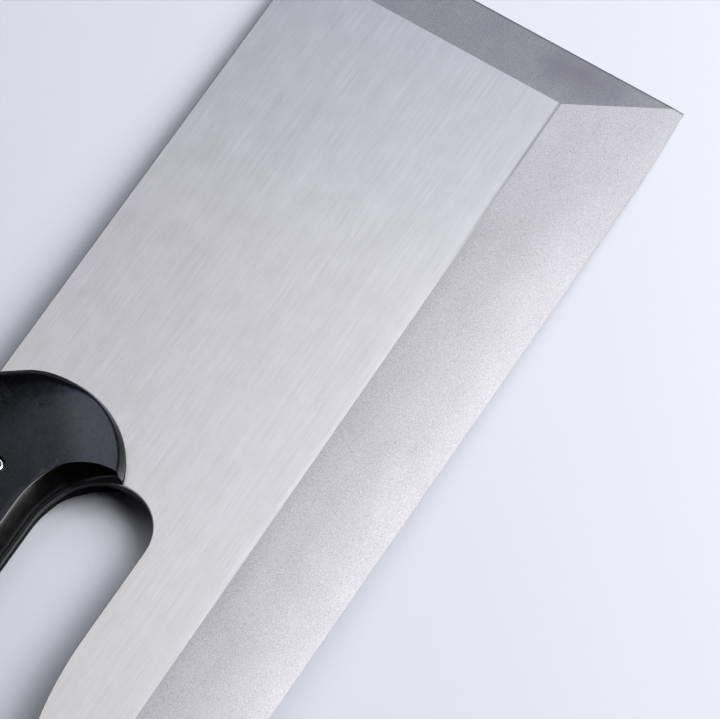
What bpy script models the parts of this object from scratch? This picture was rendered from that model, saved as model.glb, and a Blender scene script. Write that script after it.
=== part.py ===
"""Soba knife with a full tang, two riveted handle scales and three tubular rivets.

The knife lies on its left side. X runs from heel to tip, Y from cutting edge to spine,
Z out of the bevelled right face. The origin is at the bottom centre of the whole knife.
"""

import math

import bpy
import bmesh
from mathutils import Vector

# Blade
BLADE_LENGTH = 0.300            # tip to heel, along the cutting edge
BLADE_HEIGHT = 0.130            # cutting edge to spine
BLADE_THICKNESS = 0.004
EDGE_THICKNESS = 0.00015        # steel left standing at the cutting edge
TIP_EDGE_THICKNESS = 0.0005     # steel left standing at the tip's end face
BEVEL_WIDTH_AT_TIP = 0.0344     # cutting bevel, edge to shinogi line
BEVEL_WIDTH_AT_HEEL = 0.0323
TIP_BEVEL_WIDTH = 0.0190
TIP_LIFT = 0.0013               # rise of the edge at the tip corner
TIP_LIFT_LENGTH = 0.040
TIP_CORNER_RADIUS = 0.006       # corner between tip and spine

# Heel, behind the cutting edge
HEEL_REACH = 0.0504             # heel to the end of the lower part's straight top
BACK_ARC_RADIUS = 0.137         # fall of the lower part's back towards the heel
HEEL_CORNER_RADIUS = 0.022

# Finger gap between grip and lower part
GAP_HEIGHT = 0.0346
GAP_DEPTH = 0.1109              # butt to the gap's foremost point
GAP_LOWER_RADIUS = 0.0148
GAP_UPPER_REACH = 0.0249        # how far the gap's upper front curve runs back

# Handle outline, shared by the tang and both scales
BUTT_BEHIND_HEEL = 0.012
GRIP_HEIGHT = 0.0355            # spine to underside
FRONT_AHEAD_OF_GAP = 0.0140     # upper end of the round front, from the gap's foremost point
FRONT_BELOW_SPINE = 0.008       # the same end, from where the front runs straight up
FRONT_BULGE = 0.0114            # round front beyond the straight line between its ends
FRONT_CORNER_RISE = 0.0025      # lower front corner above the gap's foremost point
BUTT_TOP_RADIUS = 0.018
BUTT_BOTTOM_RADIUS = 0.010
BUTT_DROP = 0.004               # hook of the underside at the butt
BUTT_DROP_LENGTH = 0.034

# Handle section
SCALE_THICKNESS = 0.008
SCALE_GAP = 0.0003              # between a scale and the tang
SPINE_ROUND = 0.0055            # rounding for the palm
RIM_ROUND = 0.0022              # rounding of the front rim
RIM_BLEND = 0.0120              # below the spine, where one rounding turns into the other
BUTT_ROUND = 0.0045
SCOOP_WIDTH = 0.0050            # finger scoop along the underside
SCOOP_HOLLOW_AT_FRONT = 1.0     # 1 is a cove with a crisp upper edge, 0 a plain rounding
SCOOP_HOLLOW_BEHIND = 0.6
SCALE_FOOT = 0.0008             # upright wall next to the tang
SCOOP_WIDTH_AT_CORNER = 0.0014  # the same at the lower front corner
SCOOP_NARROWS = 0.5             # share of the gap's upper front curve where this starts
SCOOP_FADES = 0.75              # share where the scoop starts to turn into the front rim
CORNER_REACH = 0.0042           # room kept free of outline points around that corner
FACET_BEHIND_GAP = 0.0064       # start of the front facet, from the gap's foremost point
FACET_ABOVE_GAP = 0.0012
FACET_LENGTH = 0.0214
FACET_DROP = 0.0027
FACET_TURN = math.radians(31)   # downhill direction, turned from the tip towards the edge
FACET_POWER = 1.3               # 1 is a flat facet, more is a domed one

# Rivets
RIVET_NAMES = ("front_rivet", "middle_rivet", "rear_rivet")
FRONT_RIVET_BEHIND_GAP = 0.0176
REAR_RIVET_FROM_BUTT = 0.0233
RIVET_BELOW_SPINE = 0.0189
SHANK_RADIUS = 0.0019
RIVET_BORE_RADIUS = 0.0013
HEAD_RADIUS = 0.0025
HEAD_THICKNESS = 0.0009
HEAD_ROLL_HEIGHT = 0.00072      # outer edge of the rolled head up to its crest
HEAD_SINK = 0.0002              # below the scale's face
RIVET_CLEARANCE = 0.0003
RECESS_CLEARANCE = 0.0004       # around the head

# Finish of the curves
ARC_STEPS = 20
CORNER_STEPS = 10
SECTION_STEPS = 7
FACET_STEPS = 6
ROUND_STEPS = 24
HEAD_STEPS = 8
SMALL_TURN = 0.3                # sine of the turn up to which two sides count as one curve
SAME_PLACE = 1e-7
SMOOTH_ANGLE = math.radians(35)

# Places worked out from the sizes above
TIP_X = (BLADE_LENGTH + BUTT_BEHIND_HEEL) / 2
SPINE_Y = BLADE_HEIGHT / 2
EDGE_Y = -BLADE_HEIGHT / 2
HEEL_X = TIP_X - BLADE_LENGTH
BUTT_X = HEEL_X - BUTT_BEHIND_HEEL
UNDERSIDE_Y = SPINE_Y - GRIP_HEIGHT
LOWER_TOP_Y = UNDERSIDE_Y - GAP_HEIGHT
GAP_FRONT_X = BUTT_X + GAP_DEPTH
GAP_MIDDLE_Y = LOWER_TOP_Y + GAP_LOWER_RADIUS
BACK_Z = SCALE_THICKNESS + SCALE_GAP
MIDDLE_Z = BACK_Z + BLADE_THICKNESS / 2
SCALE_BASE = BLADE_THICKNESS / 2 + SCALE_GAP    # from the tang's middle plane
SCALE_FACE = SCALE_BASE + SCALE_THICKNESS


def clear_scene():
    for item in list(bpy.data.objects):
        bpy.data.objects.remove(item, do_unlink=True)


def mix(start, end, share):
    return start + (end - start) * share


def smooth_step(share):
    share = min(max(share, 0.0), 1.0)
    return share * share * (3 - 2 * share)


def arc(centre_x, centre_y, radius_x, radius_y, start_deg, end_deg, steps):
    """Points along part of a circle or an ellipse, both ends included."""
    points = []
    for step in range(steps + 1):
        angle = math.radians(mix(start_deg, end_deg, step / steps))
        points.append(Vector((centre_x + radius_x * math.cos(angle),
                              centre_y + radius_y * math.sin(angle))))
    return points


def bulged_curve(start, end, bulge, steps):
    """Circular arc from start to end that stands out to the right of the straight line."""
    chord = end - start
    radius = (chord.length_squared / 4 + bulge * bulge) / (2 * bulge)
    outward = Vector((chord.y, -chord.x)).normalized()
    centre = (start + end) / 2 - outward * (radius - bulge)
    first = math.atan2(start.y - centre.y, start.x - centre.x)
    last = math.atan2(end.y - centre.y, end.x - centre.x)
    return arc(centre.x, centre.y, radius, radius, math.degrees(first), math.degrees(last), steps)


def gap_upper_front(steps):
    """From the grip's straight underside forward and down to the lower front corner."""
    rise = UNDERSIDE_Y - GAP_MIDDLE_Y
    corner = math.degrees(math.asin(FRONT_CORNER_RISE / rise))
    return arc(GAP_FRONT_X - GAP_UPPER_REACH, GAP_MIDDLE_Y, GAP_UPPER_REACH, rise, 90, corner, steps)


def butt_top():
    centre_x = BUTT_X + BUTT_TOP_RADIUS
    centre_y = SPINE_Y - BUTT_TOP_RADIUS
    return arc(centre_x, centre_y, BUTT_TOP_RADIUS, BUTT_TOP_RADIUS, 90, 180, CORNER_STEPS)


def butt_bottom():
    centre_x = BUTT_X + BUTT_BOTTOM_RADIUS
    centre_y = UNDERSIDE_Y - BUTT_DROP + BUTT_BOTTOM_RADIUS
    return arc(centre_x, centre_y, BUTT_BOTTOM_RADIUS, BUTT_BOTTOM_RADIUS, 180, 270, CORNER_STEPS)


def butt_hook():
    """The underside's rise from the hook at the butt to the straight grip."""
    points = []
    for step in range(1, CORNER_STEPS + 1):
        share = step / CORNER_STEPS
        points.append(Vector((BUTT_X + BUTT_BOTTOM_RADIUS + BUTT_DROP_LENGTH * share,
                              UNDERSIDE_Y - BUTT_DROP * (1 - smooth_step(share)))))
    return points


def tip_edge_y(x):
    """Height of the cutting edge, which lifts towards the tip corner."""
    share = max(0.0, (x - (TIP_X - TIP_LIFT_LENGTH)) / TIP_LIFT_LENGTH)
    return EDGE_Y + TIP_LIFT * share * share


def shinogi_y(x):
    """Line where the cutting bevel meets the flat of the blade."""
    return EDGE_Y + mix(BEVEL_WIDTH_AT_HEEL, BEVEL_WIDTH_AT_TIP, (x - HEEL_X) / BLADE_LENGTH)


def cutting_edge():
    points = [Vector((HEEL_X, EDGE_Y))]
    for step in range(CORNER_STEPS + 1):
        x = TIP_X - TIP_LIFT_LENGTH * (1 - step / CORNER_STEPS)
        points.append(Vector((x, tip_edge_y(x))))
    return points


def heel_back():
    """From the lower part's straight top back and down to the heel's upright end."""
    start_x = HEEL_X + HEEL_REACH
    reach = HEEL_REACH - HEEL_CORNER_RADIUS
    between = BACK_ARC_RADIUS - HEEL_CORNER_RADIUS
    turn = math.degrees(math.asin(reach / between))
    centre_y = LOWER_TOP_Y - BACK_ARC_RADIUS
    corner_x = HEEL_X + HEEL_CORNER_RADIUS
    corner_y = centre_y + between * math.cos(math.radians(turn))
    back = arc(start_x, centre_y, BACK_ARC_RADIUS, BACK_ARC_RADIUS, 90, 90 + turn, CORNER_STEPS)
    corner = arc(corner_x, corner_y, HEEL_CORNER_RADIUS, HEEL_CORNER_RADIUS,
                 90 + turn, 180, CORNER_STEPS)
    return back + corner[1:]


def blade_outline():
    tip_corner = arc(TIP_X - TIP_CORNER_RADIUS, SPINE_Y - TIP_CORNER_RADIUS,
                     TIP_CORNER_RADIUS, TIP_CORNER_RADIUS, 0, 90, CORNER_STEPS)
    gap_front = arc(GAP_FRONT_X - GAP_UPPER_REACH, GAP_MIDDLE_Y, GAP_UPPER_REACH,
                    UNDERSIDE_Y - GAP_MIDDLE_Y, 90, 0, ARC_STEPS)
    gap_lower = arc(GAP_FRONT_X - GAP_LOWER_RADIUS, GAP_MIDDLE_Y, GAP_LOWER_RADIUS,
                    GAP_LOWER_RADIUS, 0, -90, CORNER_STEPS)
    return (cutting_edge() + tip_corner + butt_top() + butt_bottom() + butt_hook()
            + gap_front + gap_lower[1:] + heel_back())


def blade_surface(point):
    """Height of the right face above the flat back, with both bevels ground into it."""
    edge = tip_edge_y(point.x)
    share = (point.y - edge) / (shinogi_y(point.x) - edge)
    bevel = mix(EDGE_THICKNESS, BLADE_THICKNESS, share)
    tip_bevel = mix(TIP_EDGE_THICKNESS, BLADE_THICKNESS, (TIP_X - point.x) / TIP_BEVEL_WIDTH)
    return min(BLADE_THICKNESS, bevel, tip_bevel)


def score_top(bm, point, along):
    """Cut an edge across the raised face, straight through point in the direction along."""
    faces = [face for face in bm.faces if face.normal.z > 0.5]
    edges = {edge for face in faces for edge in face.edges}
    verts = {vert for face in faces for vert in face.verts}
    normal = Vector((along.y, -along.x, 0.0))
    bmesh.ops.bisect_plane(bm, geom=list(verts) + list(edges) + faces, dist=SAME_PLACE,
                           plane_co=point.to_3d(), plane_no=normal)


def tip_ridge_end():
    """Point on the tip's end face where the two bevels have the same height."""
    corner_y = tip_edge_y(TIP_X)
    share = (TIP_EDGE_THICKNESS - EDGE_THICKNESS) / (BLADE_THICKNESS - EDGE_THICKNESS)
    return Vector((TIP_X, mix(corner_y, shinogi_y(TIP_X), share)))


def prism(name, outline, bottom, top):
    """Solid between two heights, over an outline that runs anticlockwise."""
    mesh = bpy.data.meshes.new(name)
    bm = bmesh.new()
    base = bm.faces.new([bm.verts.new((p.x, p.y, bottom)) for p in outline])
    result = bmesh.ops.extrude_face_region(bm, geom=[base])
    raised = [item for item in result["geom"] if isinstance(item, bmesh.types.BMVert)]
    bmesh.ops.translate(bm, verts=raised, vec=(0.0, 0.0, top - bottom))
    bmesh.ops.recalc_face_normals(bm, faces=bm.faces)
    return mesh, bm


def blade_mesh():
    mesh, bm = prism("blade", blade_outline(), 0.0, BLADE_THICKNESS)
    inner_x = TIP_X - TIP_BEVEL_WIDTH
    shinogi = Vector((BLADE_LENGTH, BEVEL_WIDTH_AT_TIP - BEVEL_WIDTH_AT_HEEL))
    inner_corner = Vector((inner_x, shinogi_y(inner_x)))
    score_top(bm, inner_corner, shinogi)
    score_top(bm, inner_corner, Vector((0.0, 1.0)))
    score_top(bm, inner_corner, tip_ridge_end() - inner_corner)
    score_top(bm, Vector((TIP_X - TIP_LIFT_LENGTH, EDGE_Y)), Vector((0.0, 1.0)))
    for vert in bm.verts:
        if vert.co.z > BLADE_THICKNESS / 2:
            vert.co.z = blade_surface(vert.co)
        vert.co.z += BACK_Z
    bm.to_mesh(mesh)
    bm.free()
    return mesh


class EdgePoint:
    """A point of the scale's outline, with the shape of the handle's side there."""

    def __init__(self, place, width, width_before=None, hollow=0.0, foot=None):
        self.place = place
        self.width = width
        self.width_before = width if width_before is None else width_before
        self.hollow = hollow
        self.foot = SCALE_THICKNESS - width if foot is None else foot

    def set_inset(self, before, after):
        """Inward move that keeps the stated widths from the sides on both hands."""
        side_before = (self.place - before).normalized()
        side_after = (after - self.place).normalized()
        inward_before = Vector((-side_before.y, side_before.x))
        inward_after = Vector((-side_after.y, side_after.x))
        turn = inward_before.x * inward_after.y - inward_before.y * inward_after.x
        if abs(turn) < SMALL_TURN:
            middle = (inward_before + inward_after).normalized()
            self.inset = middle * self.width / middle.dot(inward_after)
            return
        self.inset = Vector((
            (self.width_before * inward_after.y - self.width * inward_before.y) / turn,
            (self.width * inward_before.x - self.width_before * inward_after.x) / turn))

    def at(self, share):
        """Place and height at a share of the way from the foot to the outer face."""
        level = (1 - math.cos(math.pi * share)) / 2
        cove = math.sqrt(level * (2 - level))
        rounding = 1 - math.sqrt(1 - level * level)
        place = self.place + self.inset * mix(rounding, cove, self.hollow)
        return place, mix(self.foot, SCALE_THICKNESS, level)


def front_curve(corner):
    """Round front from the lower front corner, then straight on up to the spine."""
    arc_end = Vector((GAP_FRONT_X + FRONT_AHEAD_OF_GAP, SPINE_Y - FRONT_BELOW_SPINE))
    points = bulged_curve(corner, arc_end, FRONT_BULGE, ARC_STEPS)
    heading = points[-1] - points[-2]
    return points + [arc_end + heading * FRONT_BELOW_SPINE / heading.y]


def front_edge_points():
    """From the lower front corner round the front to the spine."""
    corner = gap_upper_front(ARC_STEPS)[-1]
    points = [EdgePoint(corner, RIM_ROUND, width_before=SCOOP_WIDTH_AT_CORNER)]
    for place in front_curve(corner):
        if (place - corner).length > CORNER_REACH:
            near_spine = smooth_step(1 - (SPINE_Y - place.y) / RIM_BLEND)
            points.append(EdgePoint(place, mix(RIM_ROUND, SPINE_ROUND, near_spine)))
    return points


def back_edge_points():
    """From the spine round the butt to the start of the straight grip."""
    points = []
    top = butt_top()
    for step, place in enumerate(top):
        width = mix(SPINE_ROUND, BUTT_ROUND, smooth_step(step / (len(top) - 1)))
        points.append(EdgePoint(place, width))
    for place in butt_bottom():
        points.append(EdgePoint(place, BUTT_ROUND))
    hook = butt_hook()
    for step, place in enumerate(hook):
        share = smooth_step((step + 1) / len(hook))
        foot = mix(SCALE_THICKNESS - BUTT_ROUND, SCALE_FOOT, share)
        points.append(EdgePoint(place, mix(BUTT_ROUND, SCOOP_WIDTH, share),
                                hollow=SCOOP_HOLLOW_BEHIND * share, foot=foot))
    return points


def scoop_edge_points():
    """Along the gap's upper front curve, where the scoop runs out at the front corner."""
    points = []
    curve = gap_upper_front(ARC_STEPS)
    for step, place in enumerate(curve):
        if (place - curve[-1]).length > CORNER_REACH:
            share = step / ARC_STEPS
            narrow = smooth_step((share - SCOOP_NARROWS) / (1 - SCOOP_NARROWS))
            fade = smooth_step((share - SCOOP_FADES) / (1 - SCOOP_FADES))
            crisp = smooth_step(share / SCOOP_NARROWS)
            hollow = mix(SCOOP_HOLLOW_BEHIND, SCOOP_HOLLOW_AT_FRONT, crisp)
            points.append(EdgePoint(place, mix(SCOOP_WIDTH, SCOOP_WIDTH_AT_CORNER, narrow),
                                    hollow=mix(hollow, 0.0, fade),
                                    foot=mix(SCALE_FOOT, SCALE_THICKNESS - RIM_ROUND, fade)))
    return points


def facet_slope():
    """Point where the front facet starts, and its downhill direction."""
    start = Vector((GAP_FRONT_X - FACET_BEHIND_GAP, UNDERSIDE_Y + FACET_ABOVE_GAP, 0.0))
    downhill = Vector((math.cos(FACET_TURN), -math.sin(FACET_TURN), 0.0))
    return start, downhill


def facet_share(place):
    """How much of the facet's drop a place on the scale has, 0 behind its start."""
    start, downhill = facet_slope()
    share = (place - start).dot(downhill) / FACET_LENGTH
    return max(0.0, share) ** FACET_POWER


def score_facet(bm):
    """Cut edges across the front of the scale, so that it can bend there."""
    start, downhill = facet_slope()
    for step in range(FACET_STEPS):
        place = start + downhill * FACET_LENGTH * step / FACET_STEPS
        bmesh.ops.bisect_plane(bm, geom=list(bm.verts) + list(bm.edges) + list(bm.faces),
                               dist=SAME_PLACE, plane_co=place, plane_no=downhill)


def scale_mesh(name, side):
    """A handle scale, side +1 on the bevelled face and -1 on the back."""
    outline = front_edge_points() + back_edge_points() + scoop_edge_points()
    count = len(outline)
    for index, point in enumerate(outline):
        point.set_inset(outline[index - 1].place, outline[(index + 1) % count].place)
    mesh = bpy.data.meshes.new(name)
    bm = bmesh.new()
    rings = [[bm.verts.new((p.place.x, p.place.y, 0.0)) for p in outline]]
    for step in range(SECTION_STEPS + 1):
        ring = []
        for point in outline:
            place, height = point.at(step / SECTION_STEPS)
            ring.append(bm.verts.new((place.x, place.y, height)))
        rings.append(ring)
    for lower, upper in zip(rings, rings[1:]):
        for index in range(count):
            after = (index + 1) % count
            bm.faces.new((lower[index], lower[after], upper[after], upper[index]))
    bm.faces.new(reversed(rings[0]))
    bm.faces.new(rings[-1])
    score_facet(bm)
    for vert in bm.verts:
        drop = FACET_DROP * facet_share(vert.co)
        height = vert.co.z * (1 - drop / SCALE_THICKNESS)
        vert.co.z = MIDDLE_Z + side * (SCALE_BASE + height)
    if side < 0:
        bmesh.ops.reverse_faces(bm, faces=bm.faces)
    bm.to_mesh(mesh)
    bm.free()
    return mesh


def turned_mesh(name, centre, profile, ring_shaped):
    """Turn radius and height pairs about the upright axis through centre."""
    mesh = bpy.data.meshes.new(name)
    bm = bmesh.new()
    rings = []
    for radius, height in profile:
        ring = []
        for step in range(ROUND_STEPS):
            angle = 2 * math.pi * step / ROUND_STEPS
            ring.append(bm.verts.new((centre.x + radius * math.cos(angle),
                                      centre.y + radius * math.sin(angle), height)))
        rings.append(ring)
    pairs = list(zip(rings, rings[1:]))
    if ring_shaped:
        pairs.append((rings[-1], rings[0]))
    else:
        bm.faces.new(rings[0])
        bm.faces.new(rings[-1])
    for lower, upper in pairs:
        for index in range(ROUND_STEPS):
            after = (index + 1) % ROUND_STEPS
            bm.faces.new((lower[index], lower[after], upper[after], upper[index]))
    bmesh.ops.recalc_face_normals(bm, faces=bm.faces)
    bm.to_mesh(mesh)
    bm.free()
    return mesh


def rivet_profile():
    """Shank, rolled head and bore of the tubular rivet, both ends alike."""
    head_top = SCALE_FACE - HEAD_SINK
    head_under = head_top - HEAD_THICKNESS
    crest = (HEAD_RADIUS + RIVET_BORE_RADIUS) / 2
    roll = HEAD_RADIUS - crest
    outer = [(SHANK_RADIUS, head_under)]
    for step in range(HEAD_STEPS + 1):
        angle = math.pi * step / HEAD_STEPS
        outer.append((crest + roll * math.cos(angle),
                      head_top - HEAD_ROLL_HEIGHT * (1 - math.sin(angle))))
    upper = [(radius, MIDDLE_Z + height) for radius, height in outer]
    lower = [(radius, MIDDLE_Z - height) for radius, height in reversed(outer)]
    return upper + lower


def rivet_hole_profile():
    """Through hole for the shank with a round recess for each head."""
    hole = SHANK_RADIUS + RIVET_CLEARANCE
    recess = HEAD_RADIUS + RECESS_CLEARANCE
    floor = SCALE_FACE - HEAD_SINK - HEAD_THICKNESS - RIVET_CLEARANCE
    beyond = SCALE_FACE + SCALE_THICKNESS
    upper = [(hole, floor), (recess, floor), (recess, beyond)]
    lower = [(radius, MIDDLE_Z - height) for radius, height in reversed(upper)]
    return lower + [(radius, MIDDLE_Z + height) for radius, height in upper]


def rivet_places():
    """Evenly spaced centres from the front rivet to the rear one."""
    front = Vector((GAP_FRONT_X - FRONT_RIVET_BEHIND_GAP, SPINE_Y - RIVET_BELOW_SPINE))
    rear = Vector((BUTT_X + REAR_RIVET_FROM_BUTT, SPINE_Y - RIVET_BELOW_SPINE))
    last = len(RIVET_NAMES) - 1
    return [front.lerp(rear, index / last) for index in range(last + 1)]


def finish(name, colour, metallic, roughness):
    material = bpy.data.materials.new(name)
    material.use_nodes = True
    shader = material.node_tree.nodes["Principled BSDF"]
    shader.inputs["Base Color"].default_value = (*colour, 1.0)
    shader.inputs["Metallic"].default_value = metallic
    shader.inputs["Roughness"].default_value = roughness
    return material


def add_object(mesh, material):
    item = bpy.data.objects.new(mesh.name, mesh)
    bpy.context.scene.collection.objects.link(item)
    if material is not None:
        mesh.materials.append(material)
    mesh.shade_smooth()
    mesh.set_sharp_from_angle(angle=SMOOTH_ANGLE)
    return item


def add_hole(item, cutter):
    hole = item.modifiers.new(cutter.name, "BOOLEAN")
    hole.operation = "DIFFERENCE"
    hole.solver = "EXACT"
    hole.object = cutter


def hole_cutters():
    cutters = []
    for name, place in zip(RIVET_NAMES, rivet_places()):
        mesh = turned_mesh(name + "_hole", place, rivet_hole_profile(), ring_shaped=False)
        cutter = add_object(mesh, None)
        cutter.hide_render = True
        cutter.display_type = "WIRE"
        cutters.append(cutter)
    return cutters


def build_knife():
    clear_scene()
    steel = finish("satin_blade_steel", (0.58, 0.58, 0.60), 1.0, 0.35)
    wood = finish("black_laminated_wood", (0.018, 0.019, 0.022), 0.0, 0.38)
    bright = finish("bright_rivet_steel", (0.80, 0.79, 0.77), 1.0, 0.18)
    blade = add_object(blade_mesh(), steel)
    right_scale = add_object(scale_mesh("right_scale", 1), wood)
    left_scale = add_object(scale_mesh("left_scale", -1), wood)
    for cutter in hole_cutters():
        add_hole(blade, cutter)
        add_hole(right_scale, cutter)
        add_hole(left_scale, cutter)
    for name, place in zip(RIVET_NAMES, rivet_places()):
        add_object(turned_mesh(name, place, rivet_profile(), ring_shaped=True), bright)


build_knife()
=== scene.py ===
"""Finish, light and camera for the soba knife: satin steel blade, black scales, tubular rivets."""

import math

import bmesh
import bpy
from mathutils import Matrix, Vector


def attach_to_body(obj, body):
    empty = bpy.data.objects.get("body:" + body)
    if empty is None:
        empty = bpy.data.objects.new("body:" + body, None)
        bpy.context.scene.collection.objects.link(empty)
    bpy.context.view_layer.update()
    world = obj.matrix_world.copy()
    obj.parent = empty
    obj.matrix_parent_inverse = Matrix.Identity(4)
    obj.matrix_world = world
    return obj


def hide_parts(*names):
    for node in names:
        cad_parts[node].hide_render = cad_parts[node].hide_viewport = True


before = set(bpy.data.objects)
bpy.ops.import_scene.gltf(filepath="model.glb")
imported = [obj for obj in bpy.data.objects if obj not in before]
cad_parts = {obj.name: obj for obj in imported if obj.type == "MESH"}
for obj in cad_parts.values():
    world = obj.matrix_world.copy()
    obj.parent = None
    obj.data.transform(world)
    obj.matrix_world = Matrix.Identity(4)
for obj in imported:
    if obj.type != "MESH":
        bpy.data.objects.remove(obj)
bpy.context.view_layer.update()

# Lengths are in metres. X runs from heel to tip, Y from cutting edge to spine, and Z up from the
# outer face of the left scale.

# Camera, as the photograph was taken
AIM = Vector((0.0287, -0.0253, 0.0123))
CAMERA_DISTANCE = 1.971
CAMERA_ELEVATION = math.radians(63.0)
CAMERA_HEADING = math.radians(32.19)
LENS_MM = 325.0
CLIP_START = 0.1
CLIP_END = 100.0

# Floor, which touches the tip and the left scale
FLOOR_SIZE = 24.0
FLOOR_TILT = math.radians(2.3)
REST_X = -0.051                 # where the left scale meets the floor
FLOOR_CLEARANCE = 0.0001        # how far the floor stays below the scale there

# Lamps
LAMP_DISTANCE = 1.3
LAMP_SIZE = 0.45
WHITE = (1.0, 1.0, 1.0)

# Blade, as in the CAD model
TIP_X = 0.156
HEEL_X = -0.144
SPINE_Y = 0.065
EDGE_Y = -0.065
BACK_Z = 0.0083
BLADE_THICKNESS = 0.004
MIDDLE_Z = BACK_Z + BLADE_THICKNESS / 2
EDGE_THICKNESS = 0.00015
TIP_EDGE_THICKNESS = 0.0005
BEVEL_WIDTH_AT_TIP = 0.0344
BEVEL_WIDTH_AT_HEEL = 0.0323
TIP_BEVEL_WIDTH = 0.0190
TIP_LIFT = 0.0013
TIP_LIFT_LENGTH = 0.040

# Grinding of the blade
BEVEL_STRIPS = 8
BEVEL_SLICE = 0.010             # length of the pieces that the bevels are cut into
BEVEL_CROWN = 0.00042           # bulge of the cutting bevel between edge and shinogi line
CROWN_FADE = 0.060              # length over which the bulge starts from the tip bevel
ROLLED_RIDGE_WIDTH = 0.0030     # band of the flat that polishing has rolled over the ridge
ROLLED_RIDGE_DROP = 0.00012
BROKEN_EDGE = 0.0003            # rounding of spine, tang and gap
BROKEN_EDGE_STEPS = 2
BEVEL_WALL = 0.0015             # walls lower than this keep their sharp edges
SHARP_BACK = 0.004              # height above the cutting edge up to which the back stays sharp

# Painted shade and light on the blade
DARK_LINE_WIDTH = 0.0013        # painted shade: a dark line along the ridge, which shows only near the tip
DARK_LINE_CORE = 0.3            # share of its width that is fully dark
DARK_LINE_FROM = 0.060
DARK_LINE_TO = 0.115
TIP_LINE_WIDTH = 0.0008         # painted line of shade along the outer edge of the tip bevel
LIGHT_EDGE_FROM = 0.4           # share of the bevel's width where the painted light towards the cutting edge starts
PATCH_PLACE = (0.1505, -0.0290)  # painted dark reflection on the tip bevel
PATCH_LENGTH = 0.010
PATCH_HEIGHT = 0.015
PATCH_CORE = 0.1                # share of its reach that is fully dark
PATCH_RAGGED = 0.25             # how far its rim strays, as a share of its reach
PATCH_DARKNESS = 0.55

# Marks on the scales
WORN_LINE = ((-0.060, 0.0590), (-0.025, 0.0415))  # above it the scales are duller
WORN_WAVER = 0.006              # how far the line strays
WORN_FADE = (-0.005, 0.007)     # distances from it between which the polish fades
WORN_POLISH = 0.15              # share of the polish that is left above it
POLISH_FROM = -0.064            # from here towards the front the polish grows
POLISH_TO = -0.038

# Handle outline, as in the CAD model
BUTT_X = -0.156
GAP_FRONT_X = -0.0451
GAP_MIDDLE_Y = 0.0097
UNDERSIDE_Y = 0.0295
GAP_UPPER_REACH = 0.0249
FRONT_AHEAD_OF_GAP = 0.0140
FRONT_BELOW_SPINE = 0.008
FRONT_CORNER_RISE = 0.0025
BUTT_TOP_RADIUS = 0.018
BUTT_BOTTOM_RADIUS = 0.010
BUTT_DROP = 0.004
BUTT_DROP_LENGTH = 0.034

# Handle section
SCALE_THICKNESS = 0.008
SCALE_GAP = 0.0003
SCALE_BASE = BLADE_THICKNESS / 2 + SCALE_GAP
RIM_WIDENS_FROM = 0.030         # height where the front's rim starts to widen towards the spine
RIM_WIDENS_TO = 0.056
FRONT_BULGE = 0.0120            # 0.6 mm more than in the CAD model
FRONT_FULLER = 0.0012           # how much fuller the front stands near the spine than in the CAD model
FULLER_FROM = 0.040
FULLER_TO = 0.062

# Edges of the scales: width of the slope, length and tilt of its rounding into the face, depth
RIM_AT_CORNER = (0.0019, 0.0005, math.radians(64), 0.0050)
RIM_AT_SPINE = (0.0032, 0.0043, math.radians(46), 0.0055)
RIM_AT_BUTT = (0.0020, 0.0025, math.radians(48), 0.0045)
RIM_UNDERSIDE = (0.00015, 0.0001, math.radians(45), 0.0003)
RUN_IN = 1.7                    # how much longer the roundings are on the face than on the slope
CORNER_REACH = 0.0030           # room kept free of outline points around the lower front corner

# Bend of the scales' faces
CROWN = 0.0010                  # fall towards the spine
CROWN_POWER = 2.5
FACET_BEHIND_GAP = 0.0064       # where the facet begins, which falls to the lower front corner
FACET_ABOVE_GAP = 0.0012
FACET_LENGTH = 0.0214
FACET_DROP = 0.0027
FACET_TURN = math.radians(50)   # how far below the grip's direction the facet falls
FACET_POWER = 2.0

# Overhang over the tang in the gap, with shares of the way along the gap's front
OVERHANG = 0.0005               # of the right scale
OVERHANG_FADES = 0.75
LEFT_OVERHANG = 0.0012          # of the left scale, around the gap's front
LEFT_OVERHANG_STARTS = 0.25
LEFT_OVERHANG_FULL = 0.60
LEFT_OVERHANG_FADES = 0.80

# Finger scoop, cut along the underside
SCOOP_WIDTH = 0.0046
SCOOP_WIDTH_AT_CORNER = 0.0005
SCOOP_NARROWS = 0.47            # share of the gap's front where this starts, on the right scale
SCOOP_SOFTENS = 0.20            # share up to which the upper edge is fully rounded
SCOOP_TILT = math.radians(45)   # slope just below the rounded upper edge
SCOOP_ROUND = 0.0003            # length that the rounding takes from the face there
SCOOP_TILT_CRISP = math.radians(50)
SCOOP_CRISP = 0.00004
SCOOP_FOOT = 0.0006             # upright wall left at least next to the tang
SCOOP_DEEPEST = SCALE_THICKNESS - SCOOP_FOOT
SCOOP_DEEPER = 1.25             # how much further down the scoop goes than its slope alone would
SCOOP_START_WIDTH = 0.0006
SCOOP_START_DEPTH = 0.0008
CUTTER_MARGIN = 0.0030
CUTTER_ABOVE = 0.00002
LEAD_OUT = 0.008                # how far the cutter runs on past the corner

# Rivets
RIVET_NAMES = ("front", "middle", "rear")
FRONT_RIVET_X = -0.0627
REAR_RIVET_X = -0.1327
RIVET_Y = 0.0461
SHANK_RADIUS = 0.0019
RIVET_BORE_RADIUS = 0.0013
HEAD_RADIUS = 0.0025
HEAD_THICKNESS = 0.0009
HEAD_ROLL_HEIGHT = 0.00072
HEAD_SINK = 0.0002
RIVET_CLEARANCE = 0.0003
RECESS_CLEARANCE = 0.0004
RECESS_FLARE = 0.00012
BORE_REACH = 2 * HEAD_RADIUS    # the blade's edges this near to a rivet's centre stay sharp

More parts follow.
